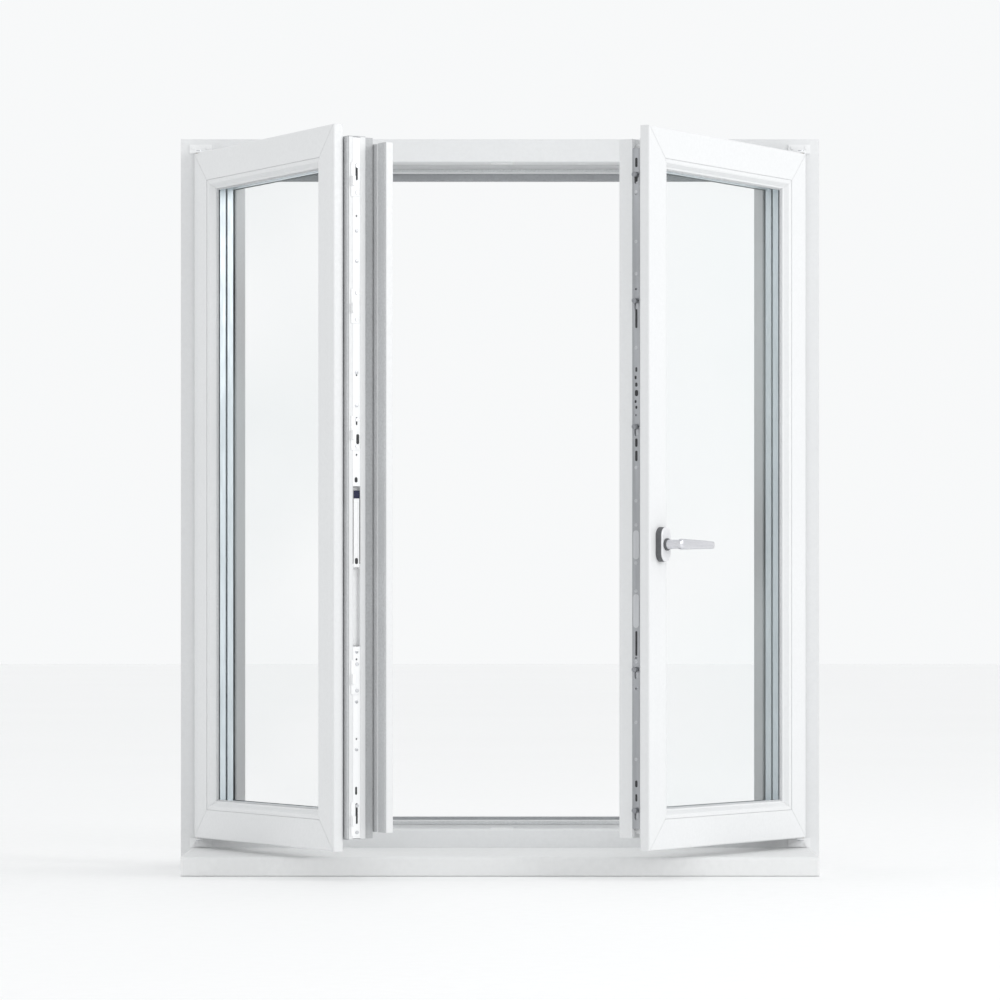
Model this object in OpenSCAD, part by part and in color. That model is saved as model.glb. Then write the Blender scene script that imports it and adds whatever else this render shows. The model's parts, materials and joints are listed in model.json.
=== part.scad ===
// Two-leaf casement window, opening into the room, with a flying mullion on the passive leaf.
// Row frame: X to the right seen from the room, Y towards the outside, Z up.
// The origin is the middle of the underside of the base profile.
// A leaf is drawn closed in its own axes: X from the hinge edge, Y from the room-side face, Z from the bottom.

/* [Outer frame] */
// Overall width of the outer frame
frame_w = 1280; // [1000:10:1800]
// Overall height of the outer frame
frame_h = 1430; // [1200:10:2200]
// Depth of the outer frame from the room side to the outside
frame_d = 88; // [84:1:110]
// Width of the frame's room-side face
frame_face = 46; // [42:1:60]
// Depth at which the frame's stop starts
stop_y = 62; // [62:1:66]
// How far the stop reaches into the opening past the room-side face
stop_w = 16; // [12:1:20]
// How far the grey weather trim reaches past the stop
trim_w = 15; // [10:1:24]
// How far the weather trim on the sill reaches past the stop
sill_trim_w = 6; // [4:1:10]
// Height of the base profile under the frame
base_h = 28; // [20:1:40]
// Radius of each wall fixing hole
fixing_r = 5.2; // [3:0.1:6]
// Distance of the end fixing holes from the frame's corners
fixing_end = 220; // [150:10:300]

/* [Leaves] */
// How far a leaf's lip covers the outer frame's face
overlap = 16; // [12:1:18]
// Thickness of a leaf's lip
lip_t = 20; // [18:1:22]
// Inset of a leaf's body behind its lip
body_inset = 22; // [20:1:24]
// Depth of a leaf from its room-side face to its outside
leaf_d = 80; // [78:1:82]
// Width of the flat face of a leaf's rails and stiles
leaf_face = 58; // [52:1:80]
// Width of a glazing bead
bead_w = 18; // [14:1:24]
// Gap between a closed lip and the frame, filled by a gasket
seal_gap = 3; // [2:0.5:4]
// Gap between the two closed leaves
meeting_gap = 4; // [2:0.5:6]
// How far the left leaf stands open, in degrees
left_open = 60.5; // [0:0.5:90]
// How far the right leaf stands open, in degrees
right_open = 57; // [0:0.5:90]

/* [Glazing] */
// Thickness of each of the three panes
pane_t = 4; // [3:0.5:5]
// Width of each sealed cavity between panes
cavity_t = 12.5; // [10:0.5:14]
// Thickness of the gasket between bead and glass
bead_seal_t = 3; // [2:0.5:4]
// Gap between the edge of the glass and the rebate
glass_gap = 5; // [3:0.5:8]

/* [Flying mullion] */
// Height of the mullion's face above the passive leaf's body
mullion_h = 34; // [32:1:36]
// Reach of the mullion's outer wing above the passive leaf's body
wing_reach = 78; // [70:1:84]
// Thickness of the mullion's outer wing
wing_t = 14; // [8:0.5:14]

/* [Hardware] */
// Height of the handle's spindle above the leaf's bottom
handle_h = 579; // [450:1:700]
// Distance of the handle's spindle from the free edge of the leaf
handle_inset = 38.5; // [36:0.5:42]
// Length of the handle's grip from its spindle
grip_len = 118; // [90:1:140]
// Distance from the leaf to the middle of the grip
grip_reach = 48; // [40:1:60]
// Height of the lever's pivot above the leaf's bottom
lever_h = 537; // [480:1:600]
// Length of the passive leaf's lever from its pivot
lever_len = 143; // [100:1:160]
// Travel of the locking cams and of the shoot bolts
throw = 14; // [8:1:14]
// Radius of each hinge pin
pin_r = 4; // [3:0.5:5]
// Radial clearance of a pin in its bush
pin_play = 0.05; // [0.02:0.01:0.1]
// Distance of the hinge pins from the leaf's edge and from its face
pivot_inset = 8; // [7:0.5:9]

/* [Window board] */
// Width of the window board
board_w = 1230; // [900:10:1800]
// Depth of the window board from the frame into the room
board_d = 350; // [150:10:450]
// Height of the board's top above the base
board_top = 38; // [30:1:39]
// Thickness of the board
board_t = 20; // [16:1:28]
// Height of the board's front nosing
nosing_h = 38; // [30:1:60]

/* [Hidden] */

$fn = 48;
eps = 0.01;                                     // overlap that keeps cuts clean
ring_reach = 100;                               // deeper than any mitred profile

// Leaf sizes and where the closed leaves stand
leaf_edge = frame_face - overlap;               // frame's outer edge to the lip's edge
leaf_w = (frame_w - 2 * leaf_edge - meeting_gap) / 2;
leaf_h = frame_h - 2 * leaf_edge;
leaf_z = base_h + leaf_edge;
room_y = -frame_d / 2;                          // the frame's room-side face
closed_y = room_y - lip_t - seal_gap;
pivot_x = leaf_w + meeting_gap / 2 - pivot_inset;
pivot_y = closed_y + pivot_inset;

// Glazing
bead_back = 14;
glass_y = bead_back + bead_seal_t;
unit_t = 3 * pane_t + 2 * cavity_t;
flange_y = glass_y + unit_t + 3;
sight = leaf_face + bead_w;
glass_inset = leaf_face + glass_gap;
glass_w = leaf_w - 2 * glass_inset;
glass_h = leaf_h - 2 * glass_inset;
edge_seal_h = 7;
spacer_h = 6.5;

// Hardware groove in the leaf's edge and in the mullion: a wide shallow seat over a narrow channel
groove_y = 43;
seat_w = 16;
seat_deep = 3;
channel_w = 12;
channel_deep = 9;
strip_play = 0.2;
strip_t = seat_deep;

// Steel chambers
frame_core = [[12, 10], [12, 36], [52, 36], [52, 10]];
leaf_core = [[61, 28], [61, 62], [76, 62], [76, 28]];
core_end = 8;
steel_t = 2;

// Flying mullion, in the left leaf's axes
mullion_x = leaf_w - body_inset;
mullion_face = mullion_x + mullion_h;
mullion_y = lip_t + 7;
mullion_back = 62;
recess_x = mullion_face - 7;
wing_y = leaf_d + 3;
wing_x = mullion_x + wing_reach;
wing_end = stop_w + overlap + 4;
trim_y = wing_y + wing_t + 2 - lip_t - seal_gap; // the trim starts behind the closed wing
cap_t = 2;

// Lever pocket, shoot bolts and locking points
pocket_deep = 11;
pocket_end = 7;
lever_t = 4.2;
lever_w = 12.4;
lever_x = mullion_face - 2.5;
lever_pin_r = 1.5;
bolt_x = mullion_face - 6;
bolt_r = 2.6;
bolt_play = 0.05;
cam_end = 75;
upper_cam = lever_h + lever_len + 122;
top_cam = leaf_h - 90;
cam_z = [cam_end, lever_h - lever_len - 52, upper_cam, (upper_cam + top_cam) / 2, top_cam];
cam_r = 5;
cam_neck_r = 3;
cam_out = 8;
keep_t = 2;
keep_w = 24;
hook_h = 6;

// Hinges
bush_r = 6;
bush_len = 32;
bracket_t = 3;
bracket_gap = 0.8;
bracket_h = 18;
bracket_w = 44;

// Colours
white = [0.95, 0.95, 0.95];
grey = [0.6, 0.61, 0.62];
steel = [0.72, 0.73, 0.75];

function arc(cx, cy, r, from, to, steps = 6) =
    [for (i = [0 : steps]) let (a = from + (to - from) * i / steps) [cx + r * cos(a), cy + r * sin(a)]];

// Cross-section of the outer frame: [depth, inset from the outer edge]
frame_profile = concat(
    [[0, 0]],
    arc(3, frame_face - 3, 3, 180, 90),
    [[stop_y, frame_face], [stop_y, frame_face + stop_w],
     [frame_d, frame_face + stop_w], [frame_d, 0]]);

// Cross-section of a leaf's rails and stiles
leaf_profile = concat(
    [[lip_t, 0]],
    arc(3.5, 3.5, 3.5, 270, 180),
    [[0, leaf_face], [flange_y, leaf_face], [flange_y, sight], [leaf_d, sight - 6],
     [leaf_d, body_inset],
     [groove_y + seat_w / 2, body_inset],
     [groove_y + seat_w / 2, body_inset + seat_deep],
     [groove_y + channel_w / 2, body_inset + seat_deep],
     [groove_y + channel_w / 2, body_inset + channel_deep],
     [groove_y - channel_w / 2, body_inset + channel_deep],
     [groove_y - channel_w / 2, body_inset + seat_deep],
     [groove_y - seat_w / 2, body_inset + seat_deep],
     [groove_y - seat_w / 2, body_inset],
     [lip_t, body_inset]]);

// Cross-section of a glazing bead, a convex slope towards the glass
bead_profile = concat(
    [[1, leaf_face + 0.3]],
    arc(bead_back - 2, leaf_face + 3, 11, 180, 150, 3),
    [[bead_back - 3.5, sight - 3]],
    arc(bead_back - 1.5, sight - 1.5, 1.5, 180, 90, 3),
    [[bead_back, sight], [bead_back, leaf_face + 0.3]]);

// Cross-section of the mullion: [depth, distance from the leaf's hinge edge]
mullion_profile = [
    [mullion_y, mullion_x], [mullion_y, mullion_face],
    [groove_y - seat_w / 2, mullion_face],
    [groove_y - seat_w / 2, mullion_face - seat_deep],
    [groove_y - channel_w / 2, mullion_face - seat_deep],
    [groove_y - channel_w / 2, mullion_face - channel_deep],
    [groove_y + channel_w / 2, mullion_face - channel_deep],
    [groove_y + channel_w / 2, mullion_face - seat_deep],
    [groove_y + seat_w / 2, mullion_face - seat_deep],
    [groove_y + seat_w / 2, mullion_face],
    [mullion_back, mullion_face], [mullion_back, recess_x],
    [leaf_d, recess_x], [leaf_d, mullion_x]];

// One straight length of a profile along X, with both ends cut at 45 degrees
module mitred_length(profile, len, seam) {
    intersection() {
        rotate([90, 0, 90])
            linear_extrude(len) polygon(profile);
        translate([0, 2 * ring_reach, 0])
            rotate([90, 0, 0])
                linear_extrude(3 * ring_reach)
                    polygon([[seam, 0], [len - seam, 0],
                             [len - ring_reach - seam, ring_reach], [ring_reach + seam, ring_reach]]);
    }
}

// Four mitred lengths round a w by h rectangle; a seam above 0 keeps them separate
module mitred_ring(profile, w, h, seam = 0) {
    mitred_length(profile, w, seam);
    translate([0, 0, h]) mirror([0, 0, 1]) mitred_length(profile, w, seam);
    mirror([1, 0, -1]) mitred_length(profile, h, seam);
    translate([w, 0, 0]) mirror([1, 0, 0]) mirror([1, 0, -1]) mitred_length(profile, h, seam);
}

// A bar with a [depth, x] cross-section, upright from z0 to z1
module upright(profile, z0, z1) {
    translate([0, 0, z0])
        linear_extrude(z1 - z0) polygon([for (p = profile) [p[1], p[0]]]);
}

// A box from its low corner to its high corner
module block(low, high) {
    translate(low) cube(high - low);
}

// A round bar along Y or along X
module bar_y(r, x, z, y0, y1) {
    translate([x, y1, z]) rotate([90, 0, 0]) cylinder(r = r, h = y1 - y0);
}
module bar_x(r, y, z, x0, x1) {
    translate([x0, y, z]) rotate([0, 90, 0]) cylinder(r = r, h = x1 - x0);
}

// Where things stand in the row frame
module frame_place() {
    translate([-frame_w / 2, room_y, base_h]) children();
}
module left_closed() {
    translate([-pivot_x - pivot_inset, closed_y, leaf_z]) children();
}
module right_closed() {
    mirror([1, 0, 0]) left_closed() children();
}
module left_leaf() {
    translate([-pivot_x, pivot_y, leaf_z]) rotate(-left_open)
        translate([-pivot_inset, -pivot_inset, 0]) children();
}
module right_leaf() {
    translate([pivot_x, pivot_y, leaf_z]) rotate(right_open) mirror([1, 0, 0])
        translate([-pivot_inset, -pivot_inset, 0]) children();
}

// ---- Outer frame ----

fixing_z = [base_h + fixing_end, base_h + frame_h - fixing_end];
fixing_y = room_y + 32;
bolt_hole_deep = 8.5;

// Axis of the shoot bolts when the left leaf is closed
closed_bolt_x = bolt_x - pivot_x - pivot_inset;
closed_bolt_y = groove_y + closed_y;
rebate_low = base_h + frame_face;
rebate_high = base_h + frame_h - frame_face;

module fixing_holes() {
    for (z = fixing_z)
        bar_x(fixing_r, fixing_y, z, -frame_w / 2 - 1, frame_w / 2 + 1);
}

module outer_frame() {
    color(white) difference() {
        frame_place() mitred_ring(frame_profile, frame_w, frame_h);
        frame_place() mitred_ring(frame_core, frame_w, frame_h);
        fixing_holes();
        translate([closed_bolt_x, closed_bolt_y, rebate_high - 1])
            cylinder(r = 4, h = bolt_hole_deep + 1);
        translate([closed_bolt_x, closed_bolt_y, rebate_low - bolt_hole_deep])
            cylinder(r = 4, h = bolt_hole_deep + 1);
    }
}

module base_profile() {
    step = 12;
    color(white) translate([-frame_w / 2, 0, 0])
        rotate([90, 0, 90]) linear_extrude(frame_w)
            polygon([[room_y, 0], [room_y, base_h], [-room_y, base_h], [-room_y, base_h - 6],
                     [-room_y - step, base_h - 8], [-room_y - step, 0]]);
}

// One steel tube along X in a chamber, stopped short of the corners
module steel_length(core, len) {
    y0 = core[0][0];
    y1 = core[2][0];
    z0 = core[0][1];
    z1 = core[1][1];
    start = z1 + core_end;
    difference() {
        block([start, y0, z0], [len - start, y1, z1]);
        block([start - 1, y0 + steel_t, z0 + steel_t],
              [len - start + 1, y1 - steel_t, z1 - steel_t]);
    }
}

module steel_ring(core, w, h) {
    steel_length(core, w);
    translate([0, 0, h]) mirror([0, 0, 1]) steel_length(core, w);
    mirror([1, 0, -1]) steel_length(core, h);
    translate([w, 0, 0]) mirror([1, 0, 0]) mirror([1, 0, -1]) steel_length(core, h);
}

module frame_steel() {
    color(steel) difference() {
        frame_place() steel_ring(frame_core, frame_w, frame_h);
        fixing_holes();
    }
}

module frame_gasket() {
    e = frame_face + stop_w;
    color(grey) frame_place()
        mitred_ring([[stop_y, e - 9], [stop_y - 4.5, e - 8], [stop_y - 4.5, e - 3], [stop_y, e - 2]],
                    frame_w, frame_h);
}

module weather_trim() {
    e = frame_face + stop_w;
    inner = e + trim_w;
    color([0.45, 0.46, 0.47]) frame_place() difference() {
        mitred_ring([[trim_y, e], [trim_y, inner - 2], [trim_y + 2, inner],
                     [frame_d - 4, inner], [frame_d, inner - 4], [frame_d, e]],
                    frame_w, frame_h);
        block([inner, trim_y - 1, e + sill_trim_w], [frame_w - inner, frame_d + 1, inner + 1]);
    }
}

module drain_covers() {
    cover_w = 44;
    cover_h = 12;
    color(white)
        for (x = [-frame_w / 3, 0, frame_w / 3])
            translate([x, 3 - room_y, base_h + 22]) rotate([90, 0, 0]) linear_extrude(3)
                union() {
                    square([cover_w - cover_h, cover_h], center = true);
                    translate([cover_w / 2 - cover_h / 2, 0]) circle(d = cover_h);
                    translate([-cover_w / 2 + cover_h / 2, 0]) circle(d = cover_h);
                }
}

// ---- Window board ----

module board_section() {
    nose = 22;
    polygon(concat(
        [[0, board_top], [0, board_top - board_t], [-board_d + nose, board_top - board_t],
         [-board_d + nose, board_top - nosing_h]],
        arc(-board_d + 4, board_top - nosing_h + 4, 4, 270, 180, 4),
        arc(-board_d + 7, board_top - 7, 7, 180, 90, 6)));
}

board_cap_t = 4;

module window_board() {
    len = board_w - 2 * board_cap_t;
    color(white) translate([-len / 2, room_y, 0])
        rotate([90, 0, 90]) linear_extrude(len) board_section();
}

module board_end_caps() {
    color([0.9, 0.9, 0.9])
        for (x = [-board_w / 2, board_w / 2 - board_cap_t])
            translate([x, room_y, 0]) rotate([90, 0, 90]) linear_extrude(board_cap_t)
                polygon(concat(
                    [[0, board_top], [0, board_top - nosing_h]],
                    arc(-board_d + 4, board_top - nosing_h + 4, 4, 270, 180, 4),
                    arc(-board_d + 7, board_top - 7, 7, 180, 90, 6)));
}

// ---- Shoot bolt keeps in the frame's rebate ----

module keep_plate_flat() {
    difference() {
        block([-22, -9, 0], [22, 9, keep_t]);
        translate([0, 0, -1]) cylinder(r = 3.4, h = keep_t + 2);
        for (x = [-15, 15])
            translate([x, 0, -1]) cylinder(r = 2, h = keep_t + 2);
    }
}

module bolt_keeps() {
    color(white) {
        translate([closed_bolt_x, closed_bolt_y, rebate_high - keep_t]) keep_plate_flat();
        translate([closed_bolt_x, closed_bolt_y, rebate_low]) keep_plate_flat();
    }
}

// ---- Hinges: two brackets on the frame, their pins, and bushes in the leaf ----

module top_bracket() {
    z = leaf_h + bracket_gap;
    difference() {
        union() {
            block([0, 0, z], [2 * pivot_inset, lip_t + seal_gap, z + bracket_t]);
            block([-12, lip_t + seal_gap - bracket_t, z],
                  [bracket_w - 12, lip_t + seal_gap, z + bracket_h]);
        }
        translate([pivot_inset, pivot_inset, z - 1]) cylinder(r = pin_r, h = bracket_t + 2);
        for (x = [-4, bracket_w - 20])
            bar_y(2, x, z + bracket_h - 6, lip_t + seal_gap - bracket_t - 1, lip_t + seal_gap + 1);
    }
}

module both_ends() {
    children();
    translate([0, 0, leaf_h]) mirror([0, 0, 1]) children();
}

module hinge_pin() {
    z = leaf_h + bracket_gap;
    translate([pivot_inset, pivot_inset, z - bush_len + 2])
        cylinder(r = pin_r, h = bush_len - 2 + bracket_t);
    translate([pivot_inset, pivot_inset, z + bracket_t]) cylinder(r = pin_r + 2, h = 2);
}

module left_hinge_brackets() {
    color(white) left_closed() both_ends() top_bracket();
}
module right_hinge_brackets() {
    color(white) right_closed() both_ends() top_bracket();
}
module left_hinge_pins() {
    color(steel) left_closed() both_ends() hinge_pin();
}
module right_hinge_pins() {
    color(steel) right_closed() both_ends() hinge_pin();
}

module bracket_screw_pair() {
    z = leaf_h + bracket_gap + bracket_h - 6;
    for (x = [-4, bracket_w - 20]) {
        bar_y(3.6, x, z, lip_t + seal_gap - bracket_t - 1.6, lip_t + seal_gap - bracket_t);
        bar_y(1.9, x, z, lip_t + seal_gap - bracket_t - eps, lip_t + seal_gap);
    }
}

module bracket_screws() {
    color(steel) {
        left_closed() both_ends() bracket_screw_pair();
        right_closed() both_ends() bracket_screw_pair();
    }
}

// ---- Parts that both leaves have ----

module bush_holes() {
    both_ends()
        translate([pivot_inset, pivot_inset, leaf_h - bush_len])
            cylinder(r = bush_r, h = bush_len + 1);
}

// Fine line along each welded corner, on the room-side face
module weld_lines() {
    len = sight * sqrt(2);
    for (x = [0, 1], z = [0, 1])
        translate([x * leaf_w, 0, z * leaf_h]) mirror([x, 0, 0]) mirror([0, 0, z])
            rotate([0, -45, 0]) translate([4, -1, -0.4]) cube([len, 1.4, 0.8]);
}

module leaf_ring() {
    difference() {
        mitred_ring(leaf_profile, leaf_w, leaf_h);
        mitred_ring(leaf_core, leaf_w, leaf_h);
        bush_holes();
        weld_lines();
    }
}

module leaf_steel() {
    steel_ring(leaf_core, leaf_w, leaf_h);
}

module leaf_beads() {
    mitred_ring(bead_profile, leaf_w, leaf_h, seam = 0.15);
}

// Pane 0 faces the room and pane 2 the outside
module pane(i) {
    y = glass_y + i * (pane_t + cavity_t);
    block([glass_inset, y, glass_inset], [leaf_w - glass_inset, y + pane_t, leaf_h - glass_inset]);
}

// Square ring inside each sealed cavity, between two insets from the leaf's edge
module cavity_rings(from, to) {
    for (i = [0, 1]) {
        y = glass_y + pane_t + i * (pane_t + cavity_t);
        mitred_ring([[y, from], [y, to], [y + cavity_t, to], [y + cavity_t, from]],
                    leaf_w, leaf_h);
    }
}
module leaf_spacers() {
    cavity_rings(glass_inset + edge_seal_h, glass_inset + edge_seal_h + spacer_h);
}
module leaf_edge_seals() {
    cavity_rings(glass_inset, glass_inset + edge_seal_h);
}

module leaf_glass_gaskets() {
    out = glass_y + unit_t;
    mitred_ring([[bead_back, sight - 10], [bead_back, sight + 1.5], [glass_y, sight + 3],
                 [glass_y, sight - 10]], leaf_w, leaf_h);
    mitred_ring([[out, sight - 10], [out, sight + 1.5], [flange_y, sight + 1],
                 [flange_y, sight - 10]], leaf_w, leaf_h);
}

module leaf_lip_gasket() {
    from = overlap - 8;
    mitred_ring([[lip_t, from], [lip_t + seal_gap - 0.4, from + 1],
                 [lip_t + seal_gap - 0.4, from + 6], [lip_t, from + 7]], leaf_w, leaf_h);
}

module leaf_glass_packers() {
    len = 80;
    for (x = [glass_inset + 60, leaf_w - glass_inset - 60 - len])
        block([x, glass_y, leaf_face], [x + len, glass_y + unit_t, glass_inset]);
    for (z = [glass_inset + 60, leaf_h - glass_inset - 60 - len]) {
        block([leaf_face, glass_y, z], [glass_inset, glass_y + unit_t, z + len]);
        block([leaf_w - glass_inset, glass_y, z], [leaf_w - leaf_face, glass_y + unit_t, z + len]);
    }
}

module leaf_bushes() {
    both_ends()
        translate([pivot_inset, pivot_inset, leaf_h - bush_len]) difference() {
            cylinder(r = bush_r, h = bush_len);
            translate([0, 0, -1]) cylinder(r = pin_r + pin_play, h = bush_len + 2);
        }
}

glass_tint = [0.8, 0.9, 0.9, 0.4];

module left_sash() { color(white) left_leaf() leaf_ring(); }
module left_sash_steel() { color(steel) left_leaf() leaf_steel(); }
module left_beads() { color(white) left_leaf() leaf_beads(); }
module left_inner_pane() { color(glass_tint) left_leaf() pane(0); }
module left_middle_pane() { color(glass_tint) left_leaf() pane(1); }
module left_outer_pane() { color(glass_tint) left_leaf() pane(2); }
module left_spacers() { color(steel) left_leaf() leaf_spacers(); }
module left_edge_seals() { color([0.2, 0.2, 0.2]) left_leaf() leaf_edge_seals(); }
module left_glass_gaskets() { color(grey) left_leaf() leaf_glass_gaskets(); }
module left_lip_gasket() { color(grey) left_leaf() leaf_lip_gasket(); }
module left_glass_packers() { color([0.3, 0.4, 0.6]) left_leaf() leaf_glass_packers(); }
module left_pivot_bushes() { color(steel) left_leaf() leaf_bushes(); }

// ---- Flying mullion and the passive leaf's gear ----

body_low = body_inset;
body_high = leaf_h - body_inset;
pocket_low = lever_h - lever_len - pocket_end;
pocket_high = lever_h + lever_len + pocket_end;

module flying_mullion() {
    color(white) left_leaf() difference() {
        union() {
            upright(mullion_profile, body_low + cap_t, body_high - cap_t);
            block([mullion_x, leaf_d, wing_end], [recess_x, wing_y, leaf_h - wing_end]);
            block([mullion_x, wing_y, wing_end], [wing_x, wing_y + wing_t, leaf_h - wing_end]);
        }
        block([mullion_face - pocket_deep, groove_y - seat_w / 2, pocket_low],
              [mullion_face + 1, groove_y + seat_w / 2, pocket_high]);
    }
}

module mullion_gaskets() {
    low = body_low + cap_t;
    high = body_high - cap_t;
    wing_high = leaf_h - wing_end;
    color(grey) left_leaf() {
        upright([[mullion_y, mullion_x + 6], [mullion_y - 3.6, mullion_x + 8],
                 [mullion_y - 3.6, mullion_face - 2], [mullion_y, mullion_face - 1]], low, high);
        upright([[mullion_back + 1, recess_x], [mullion_back + 1, recess_x + 4],
                 [leaf_d - 1, recess_x + 4], [leaf_d - 1, recess_x]], low, high);
        upright([[wing_y, wing_x - 30], [wing_y - 2.4, wing_x - 28],
                 [wing_y - 2.4, wing_x - 2], [wing_y, wing_x - 1]], wing_end, wing_high);
        upright([[wing_y, recess_x], [wing_y - 2, recess_x],
                 [wing_y - 2, recess_x + 12], [wing_y, recess_x + 13]], wing_end, wing_high);
    }
}

module mullion_end_caps() {
    color([0.75, 0.75, 0.76]) left_leaf()
        for (z = [body_low, body_high - cap_t])
            difference() {
                block([mullion_x, mullion_y, z], [mullion_face, mullion_back, z + cap_t]);
                translate([bolt_x, groove_y, z - 1]) cylinder(r = bolt_r + bolt_play, h = cap_t + 2);
            }
}

// Strip in the mullion's seat, above and below the lever pocket, with a row of screw holes
module mullion_rails() {
    y0 = groove_y - seat_w / 2 + strip_play;
    y1 = groove_y + seat_w / 2 - strip_play;
    hole_pitch = 150;
    color(steel) left_leaf() difference() {
        union() {
            block([mullion_face - strip_t, y0, body_low + cap_t + 1], [mullion_face, y1, pocket_low - 1]);
            block([mullion_face - strip_t, y0, pocket_high + 1], [mullion_face, y1, body_high - cap_t - 1]);
        }
        for (z = [pocket_high + 60 : hole_pitch : body_high - 40])
            bar_x(2, groove_y, z, mullion_face - strip_t - 1, mullion_face + 1);
        for (z = [pocket_low - 25 : -hole_pitch : body_low + 30])
            bar_x(2, groove_y, z, mullion_face - strip_t - 1, mullion_face + 1);
    }
}

module lever_tray() {
    y0 = groove_y - seat_w / 2 + strip_play;
    y1 = groove_y + seat_w / 2 - strip_play;
    x0 = mullion_face - pocket_deep;
    lug = 1.3;
    color([0.9, 0.9, 0.92]) left_leaf() difference() {
        union() {
            block([x0, y0, pocket_low + 1], [x0 + 1.2, y1, pocket_high - 1]);
            for (y = [y0, y1 - lug])
                block([x0, y, lever_h - 5], [mullion_face - 0.3, y + lug, lever_h + 5]);
        }
        bar_y(lever_pin_r, lever_x, lever_h, y0 - 1, y1 + 1);
    }
}

module lever_pin() {
    color(steel) left_leaf()
        bar_y(lever_pin_r, lever_x, lever_h,
              groove_y - seat_w / 2 + strip_play, groove_y + seat_w / 2 - strip_play);
}

module passive_lever() {
    y0 = groove_y - lever_w / 2;
    x0 = lever_x - lever_t / 2;
    color([0.93, 0.93, 0.94]) left_leaf() difference() {
        union() {
            block([x0, y0, lever_h], [x0 + lever_t, y0 + lever_w, lever_h + lever_len]);
            bar_y(lever_t / 2, lever_x, lever_h, y0, y0 + lever_w);
        }
        bar_y(lever_pin_r + 0.06, lever_x, lever_h, y0 - 1, y0 + lever_w + 1);
        block([x0 + lever_t - 0.8, groove_y - 3.5, lever_h + 14],
              [x0 + lever_t + 1, groove_y + 3.5, lever_h + lever_len - 22]);
    }
}

module lever_pad() {
    color([0.13, 0.14, 0.28]) left_leaf()
        block([lever_x + lever_t / 2, groove_y - lever_w / 2, lever_h + lever_len - 15],
              [lever_x + lever_t / 2 + 0.9, groove_y + lever_w / 2, lever_h + lever_len]);
}

module top_shoot_bolt() {
    color(steel) left_leaf()
        translate([bolt_x, groove_y, pocket_high + 1])
            cylinder(r = bolt_r, h = body_high - 1 - pocket_high - 1);
}

module bottom_shoot_bolt() {
    color(steel) left_leaf()
        translate([bolt_x, groove_y, body_low + 1])
            cylinder(r = bolt_r, h = pocket_low - 1 - body_low - 1);
}

// One striker: a plate on the mullion with a hook that the locked cam pulls against
keep_low = throw + 32;
keep_high = 18;

module lock_keeps() {
    x0 = mullion_face;
    color([0.5, 0.5, 0.52]) left_leaf()
        for (z = cam_z)
            difference() {
                union() {
                    block([x0, groove_y - keep_w / 2, z - keep_low],
                          [x0 + keep_t, groove_y + keep_w / 2 - 7.5, z + keep_high]);
                    block([x0 + keep_t - eps, groove_y - keep_w / 2, z - throw - 12],
                          [x0 + keep_t + hook_h, groove_y - cam_r - 0.6, z - throw + 6]);
                }
                for (dz = [-keep_low + 7, keep_high - 7])
                    bar_x(2, groove_y, z + dz, x0 - 1, x0 + keep_t + 1);
            }
}

module keep_screws() {
    x0 = mullion_face;
    color(steel) left_leaf()
        for (z = cam_z, dz = [-keep_low + 7, keep_high - 7]) {
            bar_x(1.9, groove_y, z + dz, x0, x0 + keep_t + eps);
            bar_x(3.4, groove_y, z + dz, x0 + keep_t, x0 + keep_t + 1.2);
        }
}

// ---- Active leaf and its lock ----

handle_x = leaf_w - handle_inset;
case_half = 60;
hub_r = 8.19;
rose_w = 32;
rose_h = 66;
rose_t = 12;
rose_cover_t = 2.5;
rose_screw = 21.5;
rose_screw_r = 2.4;
collar_r = 9.5;

module right_sash() {
    color(white) right_leaf() difference() {
        leaf_ring();
        block([leaf_w - body_inset - 30, groove_y - 7, handle_h - case_half - 2],
              [leaf_w - body_inset - channel_deep + eps, groove_y + 7, handle_h + case_half + 2]);
        bar_y(6, handle_x, handle_h, -1, groove_y);
        for (dz = [-rose_screw, rose_screw])
            bar_y(rose_screw_r, handle_x, handle_h + dz, -1, 30);
    }
}

module right_sash_steel() { color(steel) right_leaf() leaf_steel(); }
module right_beads() { color(white) right_leaf() leaf_beads(); }
module right_inner_pane() { color(glass_tint) right_leaf() pane(0); }
module right_middle_pane() { color(glass_tint) right_leaf() pane(1); }
module right_outer_pane() { color(glass_tint) right_leaf() pane(2); }
module right_spacers() { color(steel) right_leaf() leaf_spacers(); }
module right_edge_seals() { color([0.2, 0.2, 0.2]) right_leaf() leaf_edge_seals(); }
module right_glass_gaskets() { color(grey) right_leaf() leaf_glass_gaskets(); }
module right_lip_gasket() { color(grey) right_leaf() leaf_lip_gasket(); }
module right_glass_packers() { color([0.3, 0.4, 0.6]) right_leaf() leaf_glass_packers(); }
module right_pivot_bushes() { color(steel) right_leaf() leaf_bushes(); }

// A slot along Z through a faceplate, with round ends
module cam_slot(x0, x1, z0, z1, r) {
    bar_x(r, groove_y, z0, x0, x1);
    bar_x(r, groove_y, z1, x0, x1);
    block([x0, groove_y - r, z0], [x1, groove_y + r, z1]);
}

module lock_faceplate() {
    x1 = leaf_w - body_inset;
    x0 = x1 - strip_t;
    slot_r = cam_neck_r + 0.5;
    color(steel) right_leaf() difference() {
        block([x0, groove_y - seat_w / 2 + strip_play, body_low + 18],
              [x1, groove_y + seat_w / 2 - strip_play, body_high - 18]);
        for (z = cam_z) {
            cam_slot(x0 - 1, x1 + 1, z - throw, z, slot_r);
            for (dz = [-throw - 22, 22])
                bar_x(2, groove_y, z + dz, x0 - 1, x1 + 1);
        }
    }
}

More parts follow.
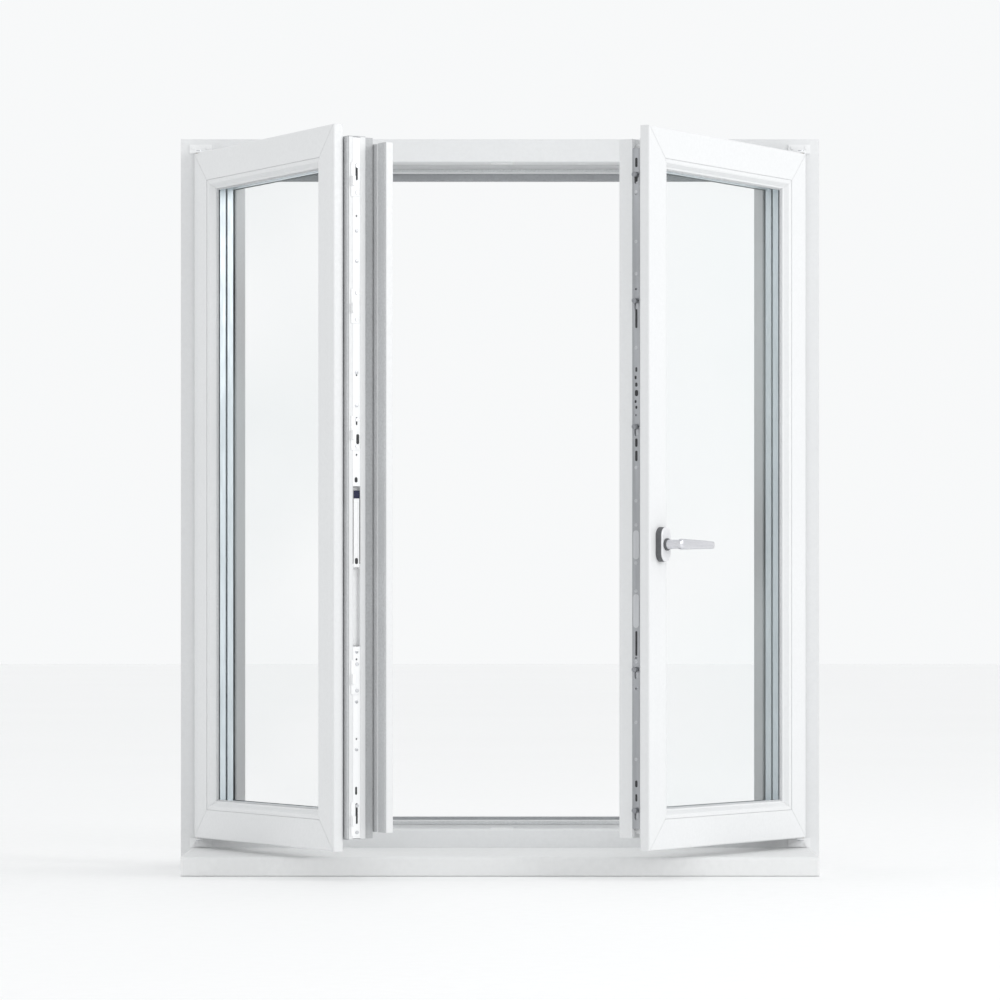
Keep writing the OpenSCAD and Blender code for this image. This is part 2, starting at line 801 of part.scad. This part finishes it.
module lock_case() {
    color([0.55, 0.55, 0.57]) right_leaf() difference() {
        block([leaf_w - body_inset - 29.5, groove_y - 6.7, handle_h - case_half],
              [leaf_w - body_inset - channel_deep, groove_y + 6.7, handle_h + case_half]);
        bar_y(hub_r + 0.06, handle_x, handle_h, groove_y - 8, groove_y + 8);
    }
}

module stadium(w, h) {
    square([w, h - w], center = true);
    translate([0, h / 2 - w / 2]) circle(d = w);
    translate([0, -h / 2 + w / 2]) circle(d = w);
}

module handle_rose() {
    color([0.45, 0.45, 0.47]) right_leaf() difference() {
        translate([handle_x, 0, handle_h]) rotate([90, 0, 0])
            linear_extrude(rose_t) stadium(rose_w, rose_h);
        bar_y(collar_r + 0.05, handle_x, handle_h, -rose_t - 1, 1);
        for (dz = [-rose_screw, rose_screw])
            bar_y(rose_screw_r, handle_x, handle_h + dz, -rose_t - 1, 1);
    }
}

module rose_cover() {
    color([0.85, 0.85, 0.88]) right_leaf() difference() {
        union() {
            translate([handle_x, -rose_t, handle_h]) rotate([90, 0, 0])
                linear_extrude(rose_cover_t / 2) stadium(rose_w, rose_h);
            translate([handle_x, -rose_t - rose_cover_t / 2, handle_h]) rotate([90, 0, 0])
                linear_extrude(rose_cover_t / 2) stadium(rose_w - 2, rose_h - 2);
        }
        bar_y(collar_r + 0.05, handle_x, handle_h, -rose_t - rose_cover_t - 1, -rose_t + 1);
    }
}

module handle_screws() {
    color(steel) right_leaf()
        for (dz = [-rose_screw, rose_screw])
            bar_y(rose_screw_r, handle_x, handle_h + dz, -rose_t + 1, 28);
}

module drive_rod() {
    x1 = leaf_w - body_inset - seat_deep - 0.4;
    color(steel) right_leaf()
        block([x1 - 4, groove_y - 5, body_low + 20 + throw], [x1, groove_y + 5, body_high - 22]);
}

module locking_cams() {
    x0 = leaf_w - body_inset - seat_deep - 0.4;
    face = leaf_w - body_inset;
    color([0.5, 0.5, 0.52]) right_leaf()
        for (z = cam_z) {
            bar_x(cam_neck_r, groove_y, z, x0, face + 2);
            bar_x(cam_r, groove_y, z, face + 1.5, face + cam_out);
        }
}

// Grip outline seen from the room, pointing from the spindle towards the hinges
module grip_outline() {
    root_r = 11;
    tip_r = 8;
    polygon(concat(
        arc(0, 0, root_r, -90, 90, 12),
        arc(-grip_len + tip_r, 0, tip_r, 90, 270, 10)));
}

module handle_grip() {
    grip_t = 13;
    color([0.78, 0.78, 0.82]) right_leaf() {
        bar_y(collar_r, handle_x, handle_h, -grip_reach, -2);
        translate([handle_x, -grip_reach + grip_t / 2, handle_h]) rotate([90, 0, 0])
            linear_extrude(grip_t) grip_outline();
    }
}

module handle_spindle() {
    color(steel) right_leaf()
        block([handle_x - 3.5, -2, handle_h - 3.5],
              [handle_x + 3.5, groove_y + 6, handle_h + 3.5]);
}

module drive_hub() {
    color(steel) right_leaf() difference() {
        bar_y(hub_r, handle_x, handle_h, groove_y - 6, groove_y + 6);
        block([handle_x - 3.5, groove_y - 7, handle_h - 3.5],
              [handle_x + 3.5, groove_y + 7, handle_h + 3.5]);
    }
}

outer_frame();
base_profile();
frame_steel();
frame_gasket();
weather_trim();
drain_covers();
window_board();
board_end_caps();
bolt_keeps();
left_hinge_brackets();
right_hinge_brackets();
left_hinge_pins();
right_hinge_pins();
bracket_screws();
left_sash();
left_sash_steel();
left_beads();
left_inner_pane();
left_middle_pane();
left_outer_pane();
left_spacers();
left_edge_seals();
left_glass_gaskets();
left_lip_gasket();
left_glass_packers();
left_pivot_bushes();
flying_mullion();
mullion_gaskets();
mullion_end_caps();
mullion_rails();
lever_tray();
lever_pin();
lock_keeps();
keep_screws();
passive_lever();
lever_pad();
top_shoot_bolt();
bottom_shoot_bolt();
right_sash();
right_sash_steel();
right_beads();
right_inner_pane();
right_middle_pane();
right_outer_pane();
right_spacers();
right_edge_seals();
right_glass_gaskets();
right_lip_gasket();
right_glass_packers();
right_pivot_bushes();
lock_faceplate();
lock_case();
handle_rose();
rose_cover();
handle_screws();
drive_rod();
locking_cams();
handle_grip();
handle_spindle();
drive_hub();
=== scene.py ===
"""Looks of the two-leaf casement window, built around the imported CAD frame."""

import json
import math

import bmesh
import bpy
from mathutils import Matrix, Vector


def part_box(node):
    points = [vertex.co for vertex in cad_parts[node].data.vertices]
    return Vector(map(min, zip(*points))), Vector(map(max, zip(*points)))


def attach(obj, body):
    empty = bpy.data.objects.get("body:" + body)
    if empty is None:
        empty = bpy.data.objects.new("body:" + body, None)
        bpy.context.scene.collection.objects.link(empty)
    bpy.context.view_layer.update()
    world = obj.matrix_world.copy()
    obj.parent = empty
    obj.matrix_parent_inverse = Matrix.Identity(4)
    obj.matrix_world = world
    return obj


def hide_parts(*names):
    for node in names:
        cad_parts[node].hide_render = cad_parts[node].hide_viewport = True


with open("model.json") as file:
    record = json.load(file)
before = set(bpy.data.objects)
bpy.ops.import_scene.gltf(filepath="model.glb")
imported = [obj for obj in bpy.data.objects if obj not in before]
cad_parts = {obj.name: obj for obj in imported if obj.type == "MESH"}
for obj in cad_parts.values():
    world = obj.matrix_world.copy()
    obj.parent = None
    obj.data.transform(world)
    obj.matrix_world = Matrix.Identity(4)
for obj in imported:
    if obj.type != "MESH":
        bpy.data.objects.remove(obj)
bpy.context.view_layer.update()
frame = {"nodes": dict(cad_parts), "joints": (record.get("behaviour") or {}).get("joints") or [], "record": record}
JOINTS = {joint["name"]: joint for joint in frame["joints"]}
SLOT_OF = {part["node"]: part["material_slot"] for part in frame["record"]["subparts"]}

# ---- Driving sizes, in metres ----

PIVOT_INSET = 0.008         # hinge axis from the leaf's edge and from its face
LEAF_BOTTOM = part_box("left_sash")[0].z
GROOVE_Y = 0.043            # middle of the hardware groove, from the leaf's room-side face
BODY_EDGE = 0.586           # free edge of a leaf's body, from its hinge edge
MULLION_FACE = 0.620        # face of the flying mullion, from the left leaf's hinge edge
HANDLE_X = 0.5695           # spindle from the right leaf's hinge edge
HANDLE_Z = JOINTS["handle_turn"]["pos_m"][2] - LEAF_BOTTOM
LEVER_Z = JOINTS["flip_lever_turn"]["pos_m"][2] - LEAF_BOTTOM
ROSE_T = 0.012              # thickness of the rose's base
ROSE_LIP = 0.0025           # how far its cover stands past the base
ROSE_CROWN = 0.0018         # how much of that is rounded
ROSE_W = 0.032
ROSE_H = 0.066
KEEP_T = 0.002              # thickness of a keep on the mullion's face
LEVER_FACE = 0.6196         # outer face of the folded lever, from the left leaf's hinge edge
STRIP_W = 0.016             # width of the hardware groove's seat
STRIP_SHADE_W = 0.0009       # width of the dark line of painted shade along each side of the seat
STRIP_END = 0.041           # end of those painted-shade lines, from the leaf's end
DETAIL_LIFT = 0.00002       # keeps a thin detail off the face under it
DETAIL_T = 0.0005           # thickness of a black plate of painted shade in a slot, or of a steel plate
EDGE_SCREW_R = 0.0034
GRIP_REACH = 0.048          # middle of the grip, from the leaf's face
GRIP_LEN = 0.118            # tip of the grip, from the spindle
GRIP_ROOT = 0.0105          # root of the grip, on the other side of the spindle

ROUND_OVER = math.radians(40)   # edges sharper than this are rounded
SHARP_OVER = math.radians(35)   # edges sharper than this are shaded sharp

LENS_MM = 156.6
LENS_SHIFT = 0.12
EYE_DISTANCE = 8.7          # from the plane of the closed leaves' faces
EYE_HEIGHT = 0.494
LEAF_STANDS_OUT = 0.023     # closed leaf's face in front of the frame's box
MIX_FACTOR, MIX_FIRST, MIX_SECOND, MIX_RESULT = 0, 6, 7, 2      # sockets of a colour Mix node


# ---- Places ----

def leaf_matrix(side):
    """From a leaf's own axes (hinge edge, room-side face, bottom) to the row frame at rest."""
    left = side == "left"
    joint = JOINTS[side + "_leaf_swing"]
    angle = math.radians(joint["range_deg"][0]) * (1 if left else -1)
    x, y, _ = joint["pos_m"]
    flip = Matrix.Identity(4) if left else Matrix.Scale(-1, 4, (1, 0, 0))
    return (Matrix.Translation((x, y, LEAF_BOTTOM)) @ Matrix.Rotation(angle, 4, "Z") @ flip
            @ Matrix.Translation((-PIVOT_INSET, -PIVOT_INSET, 0)))


LEFT = leaf_matrix("left")
RIGHT = leaf_matrix("right")


# ---- Materials ----

class Shader:
    """A Principled material with short helpers for its nodes."""

    def __init__(self, name):
        self.mat = bpy.data.materials.new(name)
        self.mat.use_nodes = True
        self.tree = self.mat.node_tree
        self.bsdf = self.tree.nodes["Principled BSDF"]
        self.place = self.tree.nodes.new("ShaderNodeTexCoord").outputs["Object"]

    def node(self, kind, **values):
        made = self.tree.nodes.new("ShaderNode" + kind)
        for key, value in values.items():
            if hasattr(made, key):
                setattr(made, key, value)
            else:
                made.inputs[key.replace("_", " ")].default_value = value
        return made

    def link(self, output, target):
        self.tree.links.new(output, target)

    def stretched(self, stretch):
        mapping = self.node("Mapping", Scale=stretch)
        self.link(self.place, mapping.inputs["Vector"])
        return mapping.outputs["Vector"]

    def noise(self, scale, detail=3.0, stretch=(1, 1, 1)):
        noise = self.node("TexNoise", Scale=scale, Detail=detail)
        self.link(self.stretched(stretch), noise.inputs["Vector"])
        return noise.outputs["Fac"]

    def ranged(self, value, low, high, start=0.3, end=0.7):
        node = self.node("MapRange", From_Min=start, From_Max=end, To_Min=low, To_Max=high)
        self.link(value, node.inputs["Value"])
        return node.outputs["Result"]

    def mixed(self, factor, first, second):
        node = self.node("Mix", data_type="RGBA")
        self.link(factor, node.inputs[MIX_FACTOR])
        for socket, value in ((node.inputs[MIX_FIRST], first), (node.inputs[MIX_SECOND], second)):
            if isinstance(value, tuple):
                socket.default_value = value
            else:
                self.link(value, socket)
        return node.outputs[MIX_RESULT]


def shade(color, factor):
    return tuple(min(1.0, c * factor) for c in color[:3]) + (1.0,)


def surface(name, color, rough, metal=0.0, mottle=0.03, mottle_scale=6.0, grain=0.12, grain_scale=900.0,
            stretch=(1, 1, 1), edge=0.0006, spread=0.06):
    """Moulded, coated or brushed material: mottled colour, uneven gloss, fine grain and eased edges."""
    s = Shader(name)
    patches = s.noise(mottle_scale, detail=4.0)
    specks = s.noise(grain_scale / 6, detail=2.0, stretch=stretch)
    tone = s.mixed(s.ranged(patches, 0.0, 1.0), shade(color, 1 - mottle), shade(color, 1 + mottle))
    fleck = s.mixed(s.ranged(specks, 0.0, 1.0, 0.35, 0.75), tone, shade(color, 1 - 2 * mottle))
    s.link(fleck, s.bsdf.inputs["Base Color"])
    s.link(s.ranged(specks, rough - spread, rough + spread), s.bsdf.inputs["Roughness"])
    s.bsdf.inputs["Metallic"].default_value = metal
    eased = s.node("Bevel", samples=4, Radius=edge)
    bump = s.node("Bump", Strength=grain, Distance=0.0004)
    s.link(s.noise(grain_scale, detail=3.0, stretch=stretch), bump.inputs["Height"])
    s.link(eased.outputs["Normal"], bump.inputs["Normal"])
    s.link(bump.outputs["Normal"], s.bsdf.inputs["Normal"])
    return s


def glass(name, tint, clear, reflection_alpha):
    """Clear pane: faintly green, with soft bands of painted reflection, where it is a little less clear and a
    little darker in tint.
    """
    s = Shader(name)
    # painted reflection: noise bands raise the alpha and darken the tint, standing in for reflections in the glass
    reflection_bands = s.noise(1.6, detail=1.0, stretch=(0.6, 0.6, 1.5))
    s.link(s.ranged(reflection_bands, clear, reflection_alpha, 0.35, 0.65), s.bsdf.inputs["Alpha"])
    tone = s.mixed(s.ranged(reflection_bands, 0.0, 1.0), shade(tint, 1.04), shade(tint, 0.95))
    s.link(tone, s.bsdf.inputs["Base Color"])
    smears = s.noise(30.0, detail=3.0, stretch=(1, 1, 0.3))
    s.link(s.ranged(smears, 0.015, 0.05), s.bsdf.inputs["Roughness"])
    s.bsdf.inputs["IOR"].default_value = 1.5
    return s


WHITE = (0.775, 0.782, 0.788)
MATERIALS = {
    "upvc_white": surface("upvc_white", WHITE, 0.34, mottle=0.012, grain=0.05),
    "board_white": surface("board_white", (0.80, 0.805, 0.805), 0.42, mottle=0.015, grain=0.10,
                           grain_scale=500.0, edge=0.0012),
    "cap_white": surface("cap_white", (0.86, 0.86, 0.86), 0.5, grain=0.2),
    "cap_grey": surface("cap_grey", (0.62, 0.63, 0.64), 0.5, grain=0.2),
    "gasket_grey": surface("gasket_grey", (0.58, 0.59, 0.60), 0.62, mottle=0.06, grain=0.3,
                           grain_scale=1400.0, edge=0.0004),
    "trim_grey": surface("trim_grey", (0.34, 0.35, 0.365), 0.6, mottle=0.06, grain=0.3, grain_scale=1400.0),
    "plated_steel": surface("plated_steel", (0.60, 0.61, 0.63), 0.36, metal=0.9, mottle=0.08, grain=0.15,
                            grain_scale=600.0, stretch=(1, 1, 0.05), edge=0.0003),
    "hinge_white": surface("hinge_white", (0.86, 0.865, 0.87), 0.4, mottle=0.02, grain=0.1, edge=0.0004),
    "bush_brass": surface("bush_brass", (0.62, 0.45, 0.2), 0.35, metal=1.0, mottle=0.06),
    "lock_grey": surface("lock_grey", (0.30, 0.31, 0.33), 0.45, metal=0.4, mottle=0.08, edge=0.0003),
    # glass: alpha 0.004 where clear, 0.045 in the bands of painted reflection
    "glass": glass("glass", (0.86, 0.955, 0.965), 0.004, 0.045),
    "spacer_silver": surface("spacer_silver", (0.76, 0.83, 0.87), 0.4, metal=0.5, mottle=0.05,
                             stretch=(1, 1, 0.1)),
    "edge_seal": surface("edge_seal", (0.07, 0.075, 0.08), 0.7, grain=0.4),
    "packer_blue": surface("packer_blue", (0.09, 0.17, 0.38), 0.5, grain=0.3),
    "lever_white": surface("lever_white", (0.90, 0.905, 0.91), 0.32, mottle=0.02, edge=0.0004),
    "pad_navy": surface("pad_navy", (0.005, 0.007, 0.045), 0.65, mottle=0.1, edge=0.0003),
    # rose base and neck collar: grey, made darker as painted shade on their sides
    "rose_grey": surface("rose_grey", (0.115, 0.118, 0.125), 0.45, mottle=0.06, grain=0.25),
    "handle_silver": surface("handle_silver", (0.70, 0.70, 0.73), 0.27, metal=0.95, mottle=0.04, grain=0.08,
                             grain_scale=700.0, stretch=(0.08, 0.08, 1), edge=0.0003),
}
OTHER_LOOKS = {
    "wing_grey": surface("wing_grey", (0.55, 0.56, 0.57), 0.6, mottle=0.06, grain=0.3, grain_scale=1400.0,
                         edge=0.0004),
    # faceplate zinc: a darker copy of plated_steel, the extra darkness painted shade of the groove between lip and
    # body
    "zinc_painted_shade": surface("zinc_painted_shade", (0.44, 0.45, 0.47), 0.38, metal=0.85, mottle=0.10, grain=0.2,
                          grain_scale=600.0, stretch=(1, 1, 0.05), edge=0.0003),
    # rose cover: its near-white tone is painted reflection of the bright surroundings
    "rose_painted_reflection": surface("rose_painted_reflection", (0.80, 0.80, 0.82), 0.42, metal=0.35, mottle=0.03, grain=0.08,
                          grain_scale=700.0),
    "rail_white": surface("rail_white", (0.93, 0.935, 0.94), 0.35, metal=0.0, mottle=0.03,
                          stretch=(1, 1, 0.05), edge=0.0003),
    # black used only for painted shade: slot openings, the edges of the lever's pocket and the lever's root
    "painted_shade_black": surface("painted_shade_black", (0.03, 0.031, 0.034), 0.55, mottle=0.15, edge=0.0002),
}
NODE_LOOK = {"mullion_rails": "rail_white", "lock_keeps": "rail_white", "lock_faceplate": "zinc_painted_shade",
             "mullion_gaskets": "wing_grey"}


def look(name):
    return (MATERIALS.get(name) or OTHER_LOOKS[name]).mat


def dress_cad_nodes():
    for name, obj in frame["nodes"].items():
        mat = look(NODE_LOOK.get(name, SLOT_OF[name]))
        if not obj.material_slots:
            obj.data.materials.append(mat)
        for material_slot in obj.material_slots:
            material_slot.material = mat


# ---- Mesh helpers ----

def piece(name, bm, place, body, slot, looks=None, bevel=0.0, smooth=True):
    """Turns a bmesh in a leaf's own axes into a piece that rides on a body."""
    bm.transform(place)
    bmesh.ops.recalc_face_normals(bm, faces=bm.faces)
    mesh = bpy.data.meshes.new(name)
    bm.to_mesh(mesh)
    bm.free()
    obj = bpy.data.objects.new(name, mesh)
    bpy.context.scene.collection.objects.link(obj)
    mesh.materials.append(look(looks or slot))
    if bevel:
        rounding = obj.modifiers.new("rounding", "BEVEL")
        rounding.width = bevel
        rounding.segments = 3
        rounding.limit_method = "ANGLE"
        rounding.angle_limit = ROUND_OVER
    if smooth:
        for polygon in mesh.polygons:
            polygon.use_smooth = True
        mesh.set_sharp_from_angle(angle=SHARP_OVER)
    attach(obj, body)
    return obj


def loft(bm, loops):
    """Skins a list of closed loops that have the same number of points, and closes both ends."""
    rings = [[bm.verts.new(point) for point in loop] for loop in loops]
    for one, two in zip(rings, rings[1:]):
        for i in range(len(one)):
            j = (i + 1) % len(one)
            bm.faces.new((one[i], one[j], two[j], two[i]))
    bm.faces.new(rings[0])
    bm.faces.new(rings[-1])


def box(bm, low, high):
    """A box between two corners."""
    (x0, y0, z0), (x1, y1, z1) = low, high
    loft(bm, [[(x0, y0, z), (x1, y0, z), (x1, y1, z), (x0, y1, z)] for z in (z0, z1)])


def stadium(width, height, count=12):
    """Outline with two round ends, in (across, up)."""
    r = width / 2
    reach = height / 2 - r
    points = []
    for end, start in ((reach, 0), (-reach, 180)):
        for i in range(count + 1):
            a = math.radians(start + 180 * i / count)
            points.append((r * math.cos(a), end + r * math.sin(a)))
    return points


def rounded(half_u, half_v, power=3.2, count=40):
    """Soft rectangle as a closed loop of (u, v)."""
    points = []
    for i in range(count):
        a = 2 * math.pi * i / count
        c, s = math.cos(a), math.sin(a)
        points.append((half_u * math.copysign(abs(c) ** (2 / power), c),
                       half_v * math.copysign(abs(s) ** (2 / power), s)))
    return points


def plate(bm, x, y, z, thick, width, height):
    """Round-ended plate standing on a face that looks along +X, with its middle at y, z."""
    outline = stadium(width, height)
    sections = ((0.0, 1.0), (thick * 0.7, 1.0), (thick, 0.90))
    loft(bm, [[(x + depth, y + u * k, z + v * k) for u, v in outline] for depth, k in sections])


def screw(bm, x, y, z, radius, proud=0.0006):
    """Pan-head screw with a cross recess, on a face that looks along +X."""
    count = 24
    arms = 4

    def ring(r, depth):
        angles = [2 * math.pi * i / count for i in range(count)]
        return [(x + depth, y + r * math.cos(a), z + r * math.sin(a)) for a in angles]

    def cross(r, depth):
        """Star-shaped ring: full radius along the four arms, a third of it between them."""
        points = []
        for i in range(count):
            a = 2 * math.pi * i / count
            reach = r * (0.34 + 0.66 * abs(math.cos(arms * a / 2)) ** 6)
            points.append((x + depth, y + reach * math.cos(a), z + reach * math.sin(a)))
        return points

    loft(bm, [ring(radius, 0), ring(radius, proud * 0.5), ring(radius * 0.8, proud),
              cross(radius * 0.62, proud), cross(radius * 0.5, proud - 0.0011)])


# ---- Handle ----

def grip_loops():
    """Cross-sections of the grip from its root, past the spindle, to its tip."""
    stations = 28
    loops = []
    for i in range(stations + 1):
        s = i / stations
        along = -GRIP_ROOT + s * (GRIP_ROOT + GRIP_LEN)
        root_end = math.sin(math.pi * min(s, 0.06) / 0.12)
        tip_end = math.sin(math.pi * min(1 - s, 0.05) / 0.10)
        end = max(min(1.0, root_end, tip_end), 0.25) ** 0.5
        half_up = (0.0105 - 0.0035 * s) * end
        half_out = (0.0063 - 0.0012 * s) * end
        bow = -0.002 * math.sin(math.pi * s)
        loops.append([(HANDLE_X - along, -GRIP_REACH + bow + u, HANDLE_Z + v)
                      for u, v in rounded(half_out, half_up)])
    return loops


def turned(bm, profile, count=40):
    """Turned form about the spindle, from (depth, radius) pairs."""
    angles = [2 * math.pi * i / count for i in range(count)]
    loft(bm, [[(HANDLE_X + r * math.cos(a), depth, HANDLE_Z + r * math.sin(a)) for a in angles]
              for depth, r in profile])


def make_handle():
    bm = bmesh.new()
    loft(bm, grip_loops())
    turned(bm, ((-0.0150, 0.0092), (-0.0200, 0.0092), (-0.0240, 0.0090), (-0.0320, 0.0086), (-0.0400, 0.0088),
                (-0.0450, 0.0094)))
    grip = piece("grip_and_neck", bm, RIGHT, "handle", "handle_silver")
    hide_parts("handle_grip")
    # neck collar: a ring in dark rose_grey, its darkness painted shade at the root of the neck
    bm = bmesh.new()
    turned(bm, ((-0.0148, 0.0094), (-0.0150, 0.0116), (-0.0172, 0.0118), (-0.0182, 0.0110),
                (-0.0186, 0.0096)))
    piece("neck_shade_collar", bm, RIGHT, "handle", "rose_grey")


def make_rose():
    """Round-ended cover of the rose, its front edge crowned; its light tone is painted reflection."""
    bm = bmesh.new()
    outline = stadium(ROSE_W, ROSE_H, count=18)
    front = -ROSE_T - ROSE_LIP
    sections = [(-ROSE_T, 1.0), (front + ROSE_CROWN, 1.0)]
    sections += [(front + ROSE_CROWN * (1 - math.sin(a)), 1 - 0.09 * (1 - math.cos(a)))
                 for a in (math.radians(30 * k) for k in (1, 2, 3))]
    loft(bm, [[(HANDLE_X + u * k, depth, HANDLE_Z + v * k) for u, v in outline] for depth, k in sections])
    cover = piece("rose_front", bm, RIGHT, "right_leaf", "handle_silver", "rose_painted_reflection")
    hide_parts("rose_cover")


# ---- Hardware on the two meeting edges ----

def edge_details(name, place, body, face, slots=(), screws=(), plates=()):
    """Black plates of painted shade where the faceplate has slot openings, steel plates and screws along the
    hardware groove; heights are above the base.

    A slot shade or plate is (low, high, width, offset from the middle of the groove).
    """
    x = face + DETAIL_LIFT
    for label, items, slot, looks in (("slots", slots, "lock_grey", "painted_shade_black"),
                                      ("plates", plates, "plated_steel", "plated_steel")):
        if not items:
            continue
        bm = bmesh.new()
        for low, high, width, across in items:
            middle = (low + high) / 2 - LEAF_BOTTOM
            plate(bm, x, GROOVE_Y + across, middle, DETAIL_T, width, high - low)
        piece(name + "_" + label, bm, place, body, slot, looks)
    if screws:
        bm = bmesh.new()
        for height in screws:
            screw(bm, x, GROOVE_Y, height - LEAF_BOTTOM, EDGE_SCREW_R)
        piece(name + "_screws", bm, place, body, "plated_steel")


def passive_edge():
    edge_details("mullion_edge", LEFT, "left_leaf", MULLION_FACE,
                 slots=[(0.753, 0.763, 0.006, -0.001), (0.165, 0.180, 0.004, -0.001)],
                 screws=[1.227, 1.170, 0.960, 0.898, 0.434, 0.340, 0.250])
    edge_details("striker", LEFT, "left_leaf", MULLION_FACE + KEEP_T,
                 slots=[(1.322, 1.353, 0.0045, -0.001), (0.861, 0.876, 0.003, -0.001),
                        (0.825, 0.844, 0.006, 0.0014), (0.110, 0.149, 0.0045, -0.001)])
    # black strips of painted shade along both edges of the lever's pocket
    for name, across, width in (("pocket_shade_near", -0.0079, 0.0014),
                                ("pocket_shade_far", 0.0068, 0.0008)):
        bm = bmesh.new()
        box(bm, (MULLION_FACE - 0.0060, GROOVE_Y + across, LEVER_Z + 0.004),
            (MULLION_FACE - 0.0006, GROOVE_Y + across + width, LEVER_Z + 0.126))
        piece(name, bm, LEFT, "left_leaf", "lock_grey", "painted_shade_black", bevel=0.0002, smooth=False)
    # black oval of painted shade at the root of the lever
    bm = bmesh.new()
    plate(bm, LEVER_FACE, GROOVE_Y, LEVER_Z + 0.010, 0.0004, 0.0064, 0.0115)
    piece("lever_root_shade", bm, LEFT, "flip_lever", "lock_grey", "painted_shade_black")


def active_edge():
    near = -0.0006
    edge_details("active_edge", RIGHT, "right_leaf", BODY_EDGE,
                 slots=[(1.352, 1.370, 0.005, near), (1.324, 1.343, 0.005, near),
                        (1.047, 1.083, 0.0045, near), (0.964, 0.973, 0.004, near),
                        (0.950, 0.957, 0.004, 0.001), (0.936, 0.944, 0.005, near),
                        (0.918, 0.930, 0.007, -0.001), (0.905, 0.911, 0.004, 0.001),
                        (0.894, 0.900, 0.004, near), (0.795, 0.815, 0.005, near),
                        (0.822, 0.838, 0.005, near), (0.426, 0.473, 0.004, near),
                        (0.177, 0.190, 0.005, near), (0.150, 0.164, 0.004, near)],
                 screws=[1.305, 1.211, 1.150, 1.010, 0.783, 0.720, 0.674, 0.602, 0.549, 0.415, 0.300,
                         0.230],
                 plates=[(0.609, 0.664, 0.013, 0.0), (0.479, 0.543, 0.013, 0.0)])
    leaf_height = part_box("right_sash")[1].z - LEAF_BOTTOM
    # dark strips of painted shade along both sides of the faceplate, where the gap to its seat is
    bm = bmesh.new()
    for across in (-STRIP_W / 2, STRIP_W / 2 - STRIP_SHADE_W):
        box(bm, (BODY_EDGE - 0.0004, GROOVE_Y + across, STRIP_END),
            (BODY_EDGE + 0.0002, GROOVE_Y + across + STRIP_SHADE_W, leaf_height - STRIP_END))
    piece("active_edge_shade_lines", bm, RIGHT, "right_leaf", "lock_grey", smooth=False)


# ---- Stage, light and camera ----

def make_floor():
    bm = bmesh.new()
    half = 40.0
    corners = ((-half, -half, 0), (half, -half, 0), (half, half, 0), (-half, half, 0))
    bm.faces.new([bm.verts.new(corner) for corner in corners])
    mesh = bpy.data.meshes.new("floor")
    bm.to_mesh(mesh)
    bm.free()
    floor = bpy.data.objects.new("floor", mesh)
    bpy.context.scene.collection.objects.link(floor)
    mesh.materials.append(surface("floor_pale", (0.96, 0.96, 0.96), 0.7, mottle=0.01, mottle_scale=0.6,
                                  grain=0.05, grain_scale=200.0, edge=0.001).mat)


def make_light():
    """Even studio light from all round, and one large lamp from the right."""
    world = bpy.data.worlds.new("studio")
    world.use_nodes = True
    sky = world.node_tree.nodes["Background"]
    sky.inputs["Color"].default_value = (0.985, 0.995, 1.0, 1)
    sky.inputs["Strength"].default_value = 0.95
    bpy.context.scene.world = world
    data = bpy.data.lights.new("key", "AREA")
    data.shape = "RECTANGLE"
    data.size, data.size_y = 2.4, 2.8
    data.energy = 120
    lamp = bpy.data.objects.new("key", data)
    bpy.context.scene.collection.objects.link(lamp)
    place = Vector((5.6, -3.9, 2.9))
    middle = Vector((0, -0.2, 0.75))
    lamp.location = place
    lamp.rotation_euler = (middle - place).to_track_quat("-Z", "Y").to_euler()


def make_camera():
    """Long lens, level, a little below the middle, with the picture shifted up by the lens."""
    leaf_face_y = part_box("outer_frame")[0].y - LEAF_STANDS_OUT
    data = bpy.data.cameras.new("camera")
    data.lens = LENS_MM
    data.shift_y = LENS_SHIFT
    data.clip_end = 200
    camera = bpy.data.objects.new("camera", data)
    bpy.context.scene.collection.objects.link(camera)
    camera.location = (0, leaf_face_y - EYE_DISTANCE, EYE_HEIGHT)
    camera.rotation_euler = (math.radians(90), 0, 0)
    bpy.context.scene.camera = camera
    bpy.context.scene.view_settings.view_transform = "Standard"


make_camera()
make_light()
make_floor()
dress_cad_nodes()
make_handle()
make_rose()
passive_edge()
active_edge()
